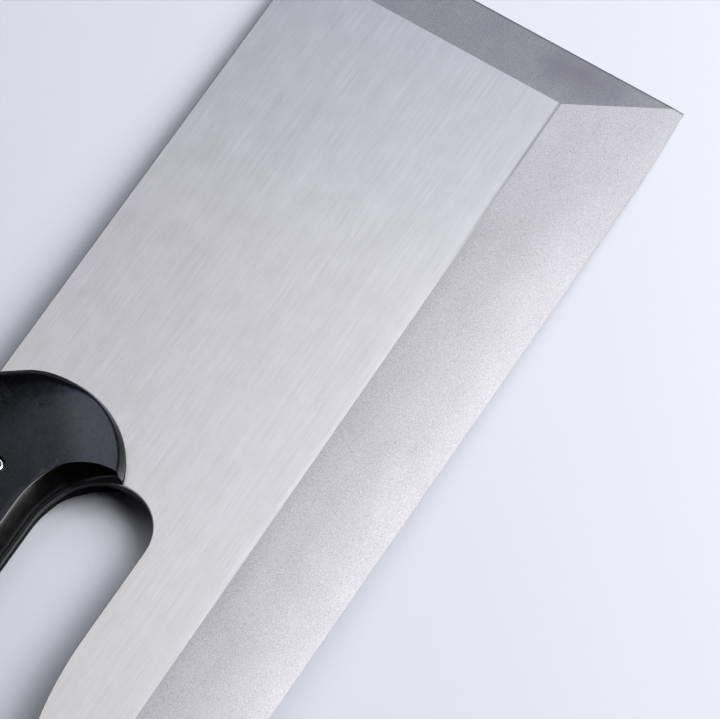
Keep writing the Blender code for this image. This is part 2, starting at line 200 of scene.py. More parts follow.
# Fineness of the curves
ARC_STEPS = 48
CORNER_STEPS = 16
SLOPE_STEPS = 12
ROUND_EDGE_STEPS = 6
ROUND_STEPS = 64
HEAD_STEPS = 14
GRID = 0.0025                   # size of the cells that the scales are cut into
GRID_BELOW_UNDERSIDE = 0.018    # how far below the underside the cells start
GRID_END_X = -0.030             # the rim ahead of this needs no cells
MERGE = 1e-6
SMALL_TURN = 0.3                # sine of the turn up to which a corner counts as part of a curve

# Sorting and shading of faces and edges
RIGHT_SIDE = 0.5                # faces whose normal rises more than this belong to the right side
UPRIGHT = 0.3                   # faces whose normal rises less than this are walls
SCOOP_LEAN = 0.2                # the scoop's faces lean to the underside by more than this
RIM_LEAN = 0.3                  # faces that lean forward by more than this belong to the rim
RIDGE_LEVEL = 0.9               # ridges lie between faces whose normals rise more than this
RIDGE_ANGLE = math.radians(2.5)
OUTLINE_ANGLE = math.radians(50)
JOIN_ANGLE = math.radians(0.4)
SMOOTH_ANGLE = math.radians(32)
LARGE_FACE_WEIGHT = 80

# Order of the finishes on the blade and on the scales
FLAT, BEVELS, WALLS = range(3)
FACE, SIDES, SCOOP = range(3)

# Values and sockets of the material nodes
MICRON = 1e-6
NOISE_MIDDLE = 0.5
NOISE_REACH = 0.2               # most values of a noise lie this near to its middle
SPOT_REACH = 0.15               # less than that, for spots with more contrast
MIX_FIRST = 6
MIX_SECOND = 7
MIX_RESULT = 2


def mix(start, end, share):
    return start + (end - start) * share


def smooth_step(share):
    """Rise from 0 to 1 that is level at both ends."""
    share = min(max(share, 0.0), 1.0)
    return share * share * (3 - 2 * share)


def ramp(value, start, end):
    """Smooth rise from 0 at start to 1 at end."""
    return smooth_step((value - start) / (end - start))


def hump(share):
    """Parabola that is 0 at both ends and 1 half way."""
    return 4 * share * (1 - share) if 0 < share < 1 else 0.0


def heading(azimuth, elevation):
    """Unit vector that points up from the object at these angles."""
    return Vector((math.cos(azimuth) * math.cos(elevation),
                   math.sin(azimuth) * math.cos(elevation),
                   math.sin(elevation)))


def pick(item):
    """Make item the only selected and the active object."""
    bpy.ops.object.select_all(action="DESELECT")
    item.select_set(True)
    bpy.context.view_layer.objects.active = item


def select(item, kind, wanted):
    """In edit mode, select just the faces or edges that wanted accepts."""
    bpy.ops.mesh.select_mode(type=kind)
    bpy.ops.mesh.select_all(action="DESELECT")
    bm = bmesh.from_edit_mesh(item.data)
    for part in (bm.faces if kind == "FACE" else bm.edges):
        if wanted(part):
            part.select_set(True)
    bmesh.update_edit_mesh(item.data)


# Blade


def tip_edge_y(x):
    """Height of the cutting edge, which lifts towards the tip corner."""
    share = max(0.0, (x - (TIP_X - TIP_LIFT_LENGTH)) / TIP_LIFT_LENGTH)
    return EDGE_Y + TIP_LIFT * share * share


def shinogi_y(x):
    """Line where the cutting bevel meets the flat of the blade."""
    along = (x - HEEL_X) / (TIP_X - HEEL_X)
    return EDGE_Y + mix(BEVEL_WIDTH_AT_HEEL, BEVEL_WIDTH_AT_TIP, along)


def ridge_drop(x, y):
    """How far polishing has lowered the flat next to the ridge, more towards the heel."""
    near = max(0.0, 1 - (y - shinogi_y(x)) / ROLLED_RIDGE_WIDTH)
    return ROLLED_RIDGE_DROP * near * (1 - (x - HEEL_X) / (TIP_X - HEEL_X))


def ground_height(x, y):
    """Height of the right face above the flat back."""
    edge = tip_edge_y(x)
    share = (y - edge) / (shinogi_y(x) - edge)
    crown = BEVEL_CROWN * hump(share) * smooth_step((TIP_X - TIP_BEVEL_WIDTH - x) / CROWN_FADE)
    bevel = mix(EDGE_THICKNESS, BLADE_THICKNESS, share) + crown
    tip_bevel = mix(TIP_EDGE_THICKNESS, BLADE_THICKNESS, (TIP_X - x) / TIP_BEVEL_WIDTH)
    return min(BLADE_THICKNESS - ridge_drop(x, y), bevel, tip_bevel)


def on_right_side(face):
    return face.normal.z > RIGHT_SIDE


def on_cutting_bevel(face):
    middle = face.calc_center_median()
    return on_right_side(face) and middle.y < shinogi_y(middle.x) - MERGE


def is_outline(edge):
    """Whether the edge belongs to the outline, where the blade is thick enough to be rounded."""
    if len(edge.link_faces) != 2 or edge.calc_face_angle(0.0) < OUTLINE_ANGLE:
        return False
    middle = (edge.verts[0].co + edge.verts[1].co) / 2
    if any((middle.xy - place).length < BORE_REACH for place in rivet_places()):
        return False
    if ground_height(middle.x, middle.y) < BEVEL_WALL:
        return False
    return middle.z >= MIDDLE_Z or middle.y >= EDGE_Y + SHARP_BACK


def is_ridge(edge):
    """Whether the edge is a ridge between two ground faces of the right side."""
    if len(edge.link_faces) != 2:
        return False
    level = min(face.normal.z for face in edge.link_faces)
    return level > RIDGE_LEVEL and edge.calc_face_angle(0.0) > RIDGE_ANGLE


def plain_blade():
    """Copy of the CAD blade, with the triangles of each plane joined."""
    item = bpy.data.objects.new("ground_blade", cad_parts["blade"].data.copy())
    bpy.context.scene.collection.objects.link(item)
    pick(item)
    bpy.ops.mesh.customdata_custom_splitnormals_clear()
    bpy.ops.object.mode_set(mode="EDIT")
    bpy.ops.mesh.select_all(action="SELECT")
    bpy.ops.mesh.remove_doubles(threshold=MERGE)
    bpy.ops.mesh.dissolve_limited(angle_limit=JOIN_ANGLE)
    bpy.ops.object.mode_set(mode="OBJECT")
    return item


def cut(item, wanted, point, along):
    """Cut edges across the wanted faces, straight through point in the direction along."""
    select(item, "FACE", wanted)
    bpy.ops.mesh.bisect(plane_co=(point[0], point[1], 0.0), plane_no=(along[1], -along[0], 0.0),
                        threshold=MERGE)


def cut_for_grinding(item):
    """Cut the flat next to the ridge, and the cutting bevel into strips and slices."""
    bpy.ops.object.mode_set(mode="EDIT")
    shinogi = (TIP_X - HEEL_X, BEVEL_WIDTH_AT_TIP - BEVEL_WIDTH_AT_HEEL)
    cut(item, on_right_side, (HEEL_X, shinogi_y(HEEL_X) + ROLLED_RIDGE_WIDTH), shinogi)
    for step in range(1, BEVEL_STRIPS):
        share = step / BEVEL_STRIPS
        heel_y = mix(EDGE_Y, shinogi_y(HEEL_X), share)
        tip_y = mix(tip_edge_y(TIP_X), shinogi_y(TIP_X), share)
        cut(item, on_cutting_bevel, (HEEL_X, heel_y), (TIP_X - HEEL_X, tip_y - heel_y))
    for step in range(1, int((TIP_X - HEEL_X) / BEVEL_SLICE)):
        cut(item, on_cutting_bevel, (HEEL_X + BEVEL_SLICE * step, 0.0), (0.0, 1.0))
    bpy.ops.object.mode_set(mode="OBJECT")


def grind(item):
    """Bring the points of the right side to their ground height, except the foot of the edge."""
    top = {index for face in item.data.polygons if on_right_side(face) for index in face.vertices}
    for index in top:
        vert = item.data.vertices[index]
        if vert.co.z > BACK_Z + EDGE_THICKNESS / 2:
            vert.co.z = BACK_Z + ground_height(vert.co.x, vert.co.y)
    item.data.update()


def fine_blade():
    """The blade, ground, with its outline's edges broken and its ridges kept sharp."""
    item = plain_blade()
    cut_for_grinding(item)
    grind(item)
    bpy.ops.object.mode_set(mode="EDIT")
    select(item, "EDGE", is_outline)
    bpy.ops.mesh.bevel(offset=BROKEN_EDGE, segments=BROKEN_EDGE_STEPS, affect="EDGES")
    bpy.ops.mesh.select_all(action="SELECT")
    bpy.ops.mesh.mark_sharp(clear=True)
    select(item, "EDGE", is_ridge)
    bpy.ops.mesh.mark_sharp()
    bpy.ops.object.mode_set(mode="OBJECT")
    return item


# Outline of the handle scales


def arc(centre_x, centre_y, radius_x, radius_y, start_deg, end_deg, steps):
    """Points along part of a circle or an ellipse, both ends included."""
    points = []
    for step in range(steps + 1):
        angle = math.radians(mix(start_deg, end_deg, step / steps))
        points.append(Vector((centre_x + radius_x * math.cos(angle),
                              centre_y + radius_y * math.sin(angle))))
    return points


def bulged_curve(start, end, bulge, steps):
    """Circular arc from start to end that stands out to the right of the straight line."""
    chord = end - start
    radius = (chord.length_squared / 4 + bulge * bulge) / (2 * bulge)
    outward = Vector((chord.y, -chord.x)).normalized()
    centre = (start + end) / 2 - outward * (radius - bulge)
    first = math.atan2(start.y - centre.y, start.x - centre.x)
    last = math.atan2(end.y - centre.y, end.x - centre.x)
    return arc(centre.x, centre.y, radius, radius, math.degrees(first), math.degrees(last), steps)


def gap_front():
    """From the grip's straight underside forward and down to the lower front corner."""
    rise = UNDERSIDE_Y - GAP_MIDDLE_Y
    corner = math.degrees(math.asin(FRONT_CORNER_RISE / rise))
    return arc(GAP_FRONT_X - GAP_UPPER_REACH, GAP_MIDDLE_Y, GAP_UPPER_REACH, rise,
               90, corner, ARC_STEPS)


def overhang(side, share):
    """How far a scale stands out over the tang, at a share of the way along the gap's front."""
    if side > 0:
        return OVERHANG * (1 - ramp(share, OVERHANG_FADES, 1.0))
    grown = ramp(share, LEFT_OVERHANG_STARTS, LEFT_OVERHANG_FULL)
    return LEFT_OVERHANG * grown * (1 - ramp(share, LEFT_OVERHANG_FADES, 1.0))


def underside(side):
    """The scale's own edge along the gap's front, from the hook's end to the lower front corner."""
    curve = gap_front()
    places = []
    for step, place in enumerate(curve):
        before = curve[max(step - 1, 0)]
        after = curve[min(step + 1, ARC_STEPS)]
        along = (after - before).normalized()
        places.append(place + Vector((along.y, -along.x)) * overhang(side, step / ARC_STEPS))
    return places


def butt_hook():
    """The underside's rise from the hook at the butt to the straight grip."""
    points = []
    for step in range(1, CORNER_STEPS + 1):
        share = step / CORNER_STEPS
        points.append(Vector((BUTT_X + BUTT_BOTTOM_RADIUS + BUTT_DROP_LENGTH * share,
                              UNDERSIDE_Y - BUTT_DROP * (1 - smooth_step(share)))))
    return points


def hook_edge(side):
    """The scale's own edge along the hook, where its overhang grows."""
    places = []
    hook = butt_hook()
    for step, place in enumerate(hook):
        share = smooth_step((step + 1) / len(hook))
        places.append(place - Vector((0.0, overhang(side, 0.0) * share)))
    return places


def front_curve(corner):
    """Round front from the lower front corner, then straight on up to the spine."""
    arc_end = Vector((GAP_FRONT_X + FRONT_AHEAD_OF_GAP, SPINE_Y - FRONT_BELOW_SPINE))
    points = bulged_curve(corner, arc_end, FRONT_BULGE, ARC_STEPS)
    direction = points[-1] - points[-2]
    return points + [arc_end + direction * FRONT_BELOW_SPINE / direction.y]


def blend_edges(first, second, share):
    """Edge between two others."""
    return tuple(mix(start, end, smooth_step(share)) for start, end in zip(first, second))


def front_rim(corner):
    """Places and edges up the front, which stands fuller near the spine."""
    pairs = []
    for place in front_curve(corner):
        if (place - corner).length > CORNER_REACH / 2:
            up = (place.y - RIM_WIDENS_FROM) / (RIM_WIDENS_TO - RIM_WIDENS_FROM)
            fuller = Vector((FRONT_FULLER * ramp(place.y, FULLER_FROM, FULLER_TO), 0.0))
            pairs.append((place + fuller, blend_edges(RIM_AT_CORNER, RIM_AT_SPINE, up)))
    return pairs


def butt_rim():
    """Places and edges round the butt, from the spine down to the hook."""
    top = arc(BUTT_X + BUTT_TOP_RADIUS, SPINE_Y - BUTT_TOP_RADIUS,
              BUTT_TOP_RADIUS, BUTT_TOP_RADIUS, 90, 180, CORNER_STEPS)
    bottom = arc(BUTT_X + BUTT_BOTTOM_RADIUS, UNDERSIDE_Y - BUTT_DROP + BUTT_BOTTOM_RADIUS,
                 BUTT_BOTTOM_RADIUS, BUTT_BOTTOM_RADIUS, 180, 270, CORNER_STEPS)
    pairs = []
    for step, place in enumerate(top):
        pairs.append((place, blend_edges(RIM_AT_SPINE, RIM_AT_BUTT, step / CORNER_STEPS)))
    return pairs + [(place, RIM_AT_BUTT) for place in bottom]


def underside_rim(side, corner):
    """Places and edges along the hook and the gap's front, short of the corner."""
    hook = hook_edge(side)
    pairs = []
    for step, place in enumerate(hook):
        pairs.append((place, blend_edges(RIM_AT_BUTT, RIM_UNDERSIDE, (step + 1) / len(hook))))
    for place in underside(side)[1:]:
        if (place - corner).length > CORNER_REACH:
            pairs.append((place, RIM_UNDERSIDE))
    return pairs


def rim_points(side):
    """The scale's outline from its lower front corner, anticlockwise, as pairs of place and edge."""
    corner = underside(side)[-1]
    return [(corner, RIM_AT_CORNER)] + front_rim(corner) + butt_rim() + underside_rim(side, corner)


# Body of the handle scales


def soft_curve(start, turn, end, steps):
    """Curve from start to end that sets out towards turn and arrives from it."""
    points = []
    for step in range(steps + 1):
        share = step / steps
        points.append(start * (1 - share) ** 2 + turn * 2 * share * (1 - share) + end * share ** 2)
    return points


def edge_section(width, rounding, tilt, depth):
    """From the scale's side wall up to its face: distances in from the wall and heights."""
    arris = Vector((width, SCALE_THICKNESS))
    start = arris - Vector((math.cos(tilt), math.sin(tilt))) * rounding
    foot = SCALE_THICKNESS - depth
    turn = Vector((0.0, max(foot, SCALE_THICKNESS - width * math.tan(tilt))))
    slope = soft_curve(Vector((0.0, foot)), turn, start, SLOPE_STEPS)
    end = arris + Vector((rounding * RUN_IN, 0.0))
    return slope + soft_curve(start, arris, end, ROUND_EDGE_STEPS)[1:]


def inset(before, place, after, distance_before, distance_after):
    """Where the outline's corner lies once both sides have moved in by their distances."""
    inward_before = Vector((before.y - place.y, place.x - before.x)).normalized()
    inward_after = Vector((place.y - after.y, after.x - place.x)).normalized()
    turn = inward_before.x * inward_after.y - inward_before.y * inward_after.x
    if abs(turn) < SMALL_TURN:
        middle = (inward_before + inward_after).normalized()
        return place + middle * distance_after / middle.dot(inward_after)
    move = Vector((distance_before * inward_after.y - distance_after * inward_before.y,
                   distance_after * inward_before.x - distance_before * inward_after.x))
    return place + move / turn


def skin(name, rings):
    """Solid through rings of points that have the same count."""
    mesh = bpy.data.meshes.new(name)
    bm = bmesh.new()
    made = [[bm.verts.new(point) for point in ring] for ring in rings]
    for lower, upper in zip(made, made[1:]):
        for index in range(len(lower)):
            after = (index + 1) % len(lower)
            bm.faces.new((lower[index], lower[after], upper[after], upper[index]))
    bm.faces.new(list(reversed(made[0])))
    bm.faces.new(made[-1])
    bmesh.ops.recalc_face_normals(bm, faces=bm.faces)
    bm.to_mesh(mesh)
    bm.free()
    item = bpy.data.objects.new(name, mesh)
    bpy.context.scene.collection.objects.link(item)
    return item


def rounded_body(name, side):
    """The scale with its rim rounded, before the scoop is cut. Heights are above its base."""
    pairs = rim_points(side)
    places = [place for place, _ in pairs]
    sections = [edge_section(*edge) for _, edge in pairs]
    rings = [[(place.x, place.y, 0.0) for place in places]]
    for step in range(len(sections[0])):
        ring = []
        for index, place in enumerate(places):
            distance, height = sections[index][step]
            # Only the lower front corner, which comes first, lies between two unlike edges.
            distance_before = sections[-1][step].x if index == 0 else distance
            spot = inset(places[index - 1], place, places[(index + 1) % len(places)],
                         distance_before, distance)
            ring.append((spot.x, spot.y, height))
        rings.append(ring)
    return skin(name, rings)


def scoop_section(width, rounding, tilt, deepest):
    """Cutter's section, as distances in from the underside and heights above the scale's base."""
    depth = min(deepest, SCOOP_DEEPER * width * math.tan(tilt))
    foot = SCALE_THICKNESS - depth
    curve = edge_section(width, rounding, tilt, depth)
    curve[-1].y += CUTTER_ABOVE
    above = SCALE_THICKNESS + CUTTER_MARGIN
    return ([Vector((-CUTTER_MARGIN, foot))] + curve
            + [Vector((curve[-1].x, above)), Vector((-CUTTER_MARGIN, above))])


def scoop_along_hook(side):
    """Places and cuts along the hook, where the scoop grows out of nothing."""
    full_width = SCOOP_WIDTH + overhang(side, 0.0)
    hook = hook_edge(side)
    path = []
    for step, place in enumerate(hook):
        share = smooth_step(step / (len(hook) - 1))
        path.append((place, mix(SCOOP_START_WIDTH, full_width, share),
                     mix(SCOOP_CRISP, SCOOP_ROUND, share), SCOOP_TILT,
                     mix(SCOOP_START_DEPTH, SCOOP_DEEPEST, share)))
    return path


def scoop_along_gap(side):
    """Places and cuts along the gap's front, and on past the corner."""
    curve = underside(side)
    path = []
    for step, place in enumerate(curve):
        share = step / ARC_STEPS
        narrow = max(0.0, (share - SCOOP_NARROWS) / (1 - SCOOP_NARROWS)) if side > 0 else 0.0
        width = mix(SCOOP_WIDTH, SCOOP_WIDTH_AT_CORNER, narrow) + overhang(side, share)
        soft = 1 - ramp(share, SCOOP_SOFTENS, SCOOP_NARROWS)
        path.append((place, width, mix(SCOOP_CRISP, SCOOP_ROUND, soft),
                     mix(SCOOP_TILT_CRISP, SCOOP_TILT, soft), SCOOP_DEEPEST))
    past_corner = curve[-1] + (curve[-1] - curve[-2]).normalized() * LEAD_OUT
    return path + [(past_corner, width, SCOOP_CRISP, SCOOP_TILT_CRISP, SCOOP_DEEPEST)]


def scoop_cutter(side):
    """Solid that cuts the scoop. Each cut is a width, rounding, tilt and greatest depth."""
    path = scoop_along_hook(side) + scoop_along_gap(side)
    rings = []
    for index, (place, *section) in enumerate(path):
        before = path[max(index - 1, 0)][0]
        after = path[min(index + 1, len(path) - 1)][0]
        along = (after - before).normalized()
        inward = Vector((-along.y, along.x))
        ring = []
        for distance, height in scoop_section(*section):
            spot = place + inward * distance
            ring.append((spot.x, spot.y, height))
        rings.append(ring)
    return skin("scoop_cutter", rings)


def subtract(item, cutter):
    pick(item)
    hole = item.modifiers.new("hole", "BOOLEAN")
    hole.operation = "DIFFERENCE"
    hole.solver = "EXACT"
    hole.object = cutter
    bpy.ops.object.modifier_apply(modifier=hole.name)
    bpy.data.objects.remove(cutter)


def facet_start():
    """Point on the line where the front facet begins."""
    return Vector((GAP_FRONT_X - FACET_BEHIND_GAP, UNDERSIDE_Y + FACET_ABOVE_GAP))


def facet_downhill():
    return Vector((math.cos(FACET_TURN), -math.sin(FACET_TURN)))


def facet_drop(place):
    """How much the front facet and the crown lower the face there."""
    share = (place.xy - facet_start()).dot(facet_downhill()) / FACET_LENGTH
    across = max(0.0, (place.y - RIVET_Y) / (SPINE_Y - RIVET_Y))
    return FACET_DROP * max(0.0, share) ** FACET_POWER + CROWN * across ** CROWN_POWER


def grid_planes():
    """Upright planes between the cells, and the one where the facet begins."""
    low = Vector((BUTT_X, UNDERSIDE_Y - GRID_BELOW_UNDERSIDE))
    high = Vector((GRID_END_X, SPINE_Y))
    planes = []
    for axis in (0, 1):
        for step in range(1, int((high[axis] - low[axis]) / GRID)):
            point = Vector((0.0, 0.0, 0.0))
            point[axis] = low[axis] + GRID * step
            normal = Vector((0.0, 0.0, 0.0))
            normal[axis] = 1.0
            planes.append((point, normal))
    return planes + [(facet_start().to_3d(), facet_downhill().to_3d())]


def cut_grid(item):
    """Cut the scale all over into cells, so that its face can bend."""
    bm = bmesh.new()
    bm.from_mesh(item.data)
    for point, normal in grid_planes():
        bmesh.ops.bisect_plane(bm, geom=list(bm.verts) + list(bm.edges) + list(bm.faces),
                               dist=MERGE, plane_co=point, plane_no=normal)
    bm.to_mesh(item.data)
    bm.free()


def bend_face(item):
    """Lower the face by its facet and crown, and lift the scale onto the tang."""
    for vert in item.data.vertices:
        height = vert.co.z * (1 - facet_drop(vert.co) / SCALE_THICKNESS)
        vert.co.z = MIDDLE_Z + SCALE_BASE + height
    item.data.update()


def mirror_to_back(item):
    mirror = Matrix.Translation((0.0, 0.0, 2 * MIDDLE_Z)) @ Matrix.Scale(-1, 4, (0.0, 0.0, 1.0))
    item.data.transform(mirror)
    item.data.flip_normals()


def fine_scale(name, side):
    """A handle scale, side +1 on the bevelled face and -1 on the back."""
    item = rounded_body(name, side)
    subtract(item, scoop_cutter(side))
    cut_grid(item)
    bend_face(item)
    for place in rivet_places():
        subtract(item, turned("recess", place, recess_profile(), filled=True))
    if side < 0:
        mirror_to_back(item)
    pick(item)
    bpy.ops.object.mode_set(mode="EDIT")
    bpy.ops.mesh.select_all(action="SELECT")
    bpy.ops.mesh.remove_doubles(threshold=MERGE)
    bpy.ops.object.mode_set(mode="OBJECT")
    return item


# Rivets


def rivet_places():
    """Evenly spaced centres from the front rivet to the rear one."""
    last = len(RIVET_NAMES) - 1
    return [Vector((mix(FRONT_RIVET_X, REAR_RIVET_X, index / last), RIVET_Y))
            for index in range(last + 1)]


def turned(name, centre, profile, filled):
    """Rings extruded one from the other through radius and height pairs."""
    bpy.ops.object.select_all(action="DESELECT")
    radius, height = profile[0]
    bpy.ops.mesh.primitive_circle_add(vertices=ROUND_STEPS, radius=radius,
                                      fill_type="NGON" if filled else "NOTHING",
                                      location=(centre.x, centre.y, height))
    item = bpy.context.object
    item.name = name
    bpy.ops.object.transform_apply(location=True)
    bpy.ops.object.mode_set(mode="EDIT")
    for next_radius, next_height in profile[1:]:
        if filled:
            bpy.ops.mesh.extrude_region_move()
        else:
            bpy.ops.mesh.extrude_edges_move()
        widen = next_radius / radius
        bpy.ops.transform.resize(value=(widen, widen, 1.0),
                                 center_override=(centre.x, centre.y, height))
        bpy.ops.transform.translate(value=(0.0, 0.0, next_height - height))
        radius, height = next_radius, next_height
    bpy.ops.mesh.select_all(action="SELECT")
    bpy.ops.mesh.remove_doubles(threshold=MERGE)
    bpy.ops.mesh.normals_make_consistent(inside=False)
    bpy.ops.object.mode_set(mode="OBJECT")
    return item


def recess_profile():
    """Through hole for the shank, and the round recess for the head with its edge broken."""
    face = MIDDLE_Z + SCALE_BASE + SCALE_THICKNESS
    floor = face - HEAD_SINK - HEAD_THICKNESS - RIVET_CLEARANCE
    hole = SHANK_RADIUS + RIVET_CLEARANCE
    recess = HEAD_RADIUS + RECESS_CLEARANCE
    return [(hole, MIDDLE_Z), (hole, floor), (recess, floor), (recess, face - RECESS_FLARE),
            (recess + 2 * RECESS_FLARE, face + RECESS_FLARE),
            (recess + 2 * RECESS_FLARE, face + SCALE_THICKNESS)]


def rivet_profile():
    """Shank, rolled head and bore of the tubular rivet, both ends alike, back to its start."""
    head_top = SCALE_BASE + SCALE_THICKNESS - HEAD_SINK
    crest = (HEAD_RADIUS + RIVET_BORE_RADIUS) / 2
    roll = HEAD_RADIUS - crest
    half = [(SHANK_RADIUS, head_top - HEAD_THICKNESS)]
    for step in range(HEAD_STEPS + 1):
        angle = math.pi * step / HEAD_STEPS
        half.append((crest + roll * math.cos(angle),
                     head_top - HEAD_ROLL_HEIGHT * (1 - math.sin(angle))))
    upper = [(radius, MIDDLE_Z + height) for radius, height in half]
    lower = [(radius, MIDDLE_Z - height) for radius, height in reversed(half)]
    return upper + lower + upper[:1]


def fine_rivets():
    """The three rivets, the first one turned and the others copied from it."""
    names = [f"{name}_tube_rivet" for name in RIVET_NAMES]
    places = rivet_places()
    first = turned(names[0], places[0], rivet_profile(), filled=False)
    items = [first]
    for name, place in zip(names[1:], places[1:]):
        copy = bpy.data.objects.new(name, first.data.copy())
        copy.data.transform(Matrix.Translation((place - places[0]).to_3d()))
        bpy.context.scene.collection.objects.link(copy)
        items.append(copy)
    return items


# Materials


class Finish:
    """A material that is built up node by node."""

    def __init__(self, name):
        self.material = bpy.data.materials.new(name)
        self.material.use_nodes = True
        self.nodes = self.material.node_tree.nodes
        self.links = self.material.node_tree.links
        self.shader = self.nodes["Principled BSDF"]
        self.place = self.nodes.new("ShaderNodeTexCoord").outputs["Object"]

    def feed(self, socket, value):
        """Give a socket a constant or the output of another node."""
        if isinstance(value, bpy.types.NodeSocket):
            self.links.new(value, socket)
        else:
            socket.default_value = value

    def set(self, name, value):
        self.feed(self.shader.inputs[name], value)

    def noise(self, lengths, detail, roughness=0.5):
        """Value from 0 to 1 that varies over these lengths, in metres, along X, Y and Z."""
        mapping = self.nodes.new("ShaderNodeMapping")
        self.links.new(self.place, mapping.inputs["Vector"])
        mapping.inputs["Scale"].default_value = [1 / length for length in lengths]
        noise = self.nodes.new("ShaderNodeTexNoise")
        self.links.new(mapping.outputs["Vector"], noise.inputs["Vector"])
        noise.inputs["Scale"].default_value = 1.0
        noise.inputs["Detail"].default_value = detail
        noise.inputs["Roughness"].default_value = roughness
        return noise.outputs["Fac"]

    def along(self, axis):
        """Distance along X, Y or Z."""
        node = self.nodes.new("ShaderNodeSeparateXYZ")
        self.links.new(self.place, node.inputs["Vector"])
        return node.outputs[axis]

    def beyond(self, start, end):
        """Distance to the left of the line from start to end, seen from above."""
        along = (Vector(end) - Vector(start)).normalized()
        across = Vector((-along.y, along.x))
        node = self.nodes.new("ShaderNodeVectorMath")
        node.operation = "DOT_PRODUCT"
        self.links.new(self.place, node.inputs[0])
        node.inputs[1].default_value = across.to_3d()
        return self.math("SUBTRACT", node.outputs["Value"], across.dot(Vector(start)))

    def above_ridge(self):
        """Distance from the shinogi line, positive on the flat."""
        return self.beyond((HEEL_X, shinogi_y(HEEL_X)), (TIP_X, shinogi_y(TIP_X)))

    def distance(self, point, length, height):
        """Distance from a point of the blade, 1 at this length along X and this height along Y."""
        x = self.math("DIVIDE", self.math("SUBTRACT", self.along("X"), point[0]), length)
        y = self.math("DIVIDE", self.math("SUBTRACT", self.along("Y"), point[1]), height)
        squares = self.math("ADD", self.math("MULTIPLY", x, x), self.math("MULTIPLY", y, y))
        return self.math("SQRT", squares, 0.0)

    def math(self, operation, first, second):
        node = self.nodes.new("ShaderNodeMath")
        node.operation = operation
        self.feed(node.inputs[0], first)
        self.feed(node.inputs[1], second)
        return node.outputs["Value"]

    def scaled(self, value, low, high, to_low, to_high):
        """The value, stretched from one range to another and kept inside it."""
        node = self.nodes.new("ShaderNodeMapRange")
        self.feed(node.inputs["Value"], value)
        node.inputs["From Min"].default_value = low
        node.inputs["From Max"].default_value = high
        node.inputs["To Min"].default_value = to_low
        node.inputs["To Max"].default_value = to_high
        return node.outputs["Result"]

    def spread(self, noise, to_low, to_high, reach=NOISE_REACH):
        """The noise, with its values within reach of the middle stretched to another range."""
        return self.scaled(noise, NOISE_MIDDLE - reach, NOISE_MIDDLE + reach, to_low, to_high)

    def mixed(self, mode, share, first, second):
        """Mix of two colours."""
        node = self.nodes.new("ShaderNodeMix")
        node.data_type = "RGBA"
        node.blend_type = mode
        self.feed(node.inputs["Factor"], share)
        self.feed(node.inputs[MIX_FIRST], first)
        self.feed(node.inputs[MIX_SECOND], second)
        return node.outputs[MIX_RESULT]

    def blend(self, share, first, second):
        """Colour between first and second."""
        return self.mixed("MIX", share, first, second)

    def times(self, colour, factor):
        """The colour with each channel multiplied."""
        return self.mixed("MULTIPLY", 1.0, colour, factor)

    def bump(self, height, depth):
        """Normal that follows height, which is depth metres from 0 to 1."""
        node = self.nodes.new("ShaderNodeBump")
        node.inputs["Strength"].default_value = 1.0
        node.inputs["Distance"].default_value = depth
        self.feed(node.inputs["Height"], height)
        return node.outputs["Normal"]


def satin_steel():
    """Flat and back of the blade: fine lines along it, faint clouds, painted shade towards the tip, and
    a painted dark line of shade by the ridge.
    """
    finish = Finish("satin_steel")
    lines = finish.noise((0.020, 0.00035, 0.00035), detail=3.0, roughness=0.65)
    bands = finish.noise((0.120, 0.0016, 0.0016), detail=3.0)
    clouds = finish.noise((0.009, 0.007, 0.007), detail=7.0, roughness=0.72)
    tone = finish.math("ADD", finish.spread(lines, 0.0, 0.5),
                       finish.math("ADD", finish.spread(bands, 0.0, 0.15),
                                   finish.spread(clouds, 0.0, 0.35)))
    steel = finish.blend(tone, (0.463, 0.456, 0.475, 1.0), (0.629, 0.621, 0.645, 1.0))
    painted_shade_near_tip = finish.scaled(finish.along("X"), DARK_LINE_FROM, DARK_LINE_TO, 0.0, 1.0)
    # Painted shade: the flat darkens towards the tip bevel.
    painted_shade_to_tip = finish.scaled(finish.along("X"), DARK_LINE_FROM, TIP_X - TIP_BEVEL_WIDTH, 0.0, 1.0)
    steel = finish.blend(painted_shade_to_tip, steel, finish.times(steel, (0.88, 0.885, 0.885, 1.0)))
    # Painted shade: a dark line along the ridge, faded in towards the tip.
    painted_shade_by_ridge = finish.scaled(finish.above_ridge(), DARK_LINE_CORE * DARK_LINE_WIDTH, DARK_LINE_WIDTH,
                             1.0, 0.0)
    dark = finish.math("MULTIPLY", painted_shade_by_ridge, painted_shade_near_tip)
    finish.set("Base Color", finish.blend(dark, steel, (0.27, 0.265, 0.28, 1.0)))
    finish.set("Metallic", 1.0)
    finish.set("Roughness", finish.spread(clouds, 0.32, 0.36))
    finish.set("Normal", finish.bump(lines, 1.5 * MICRON))
    return finish.material


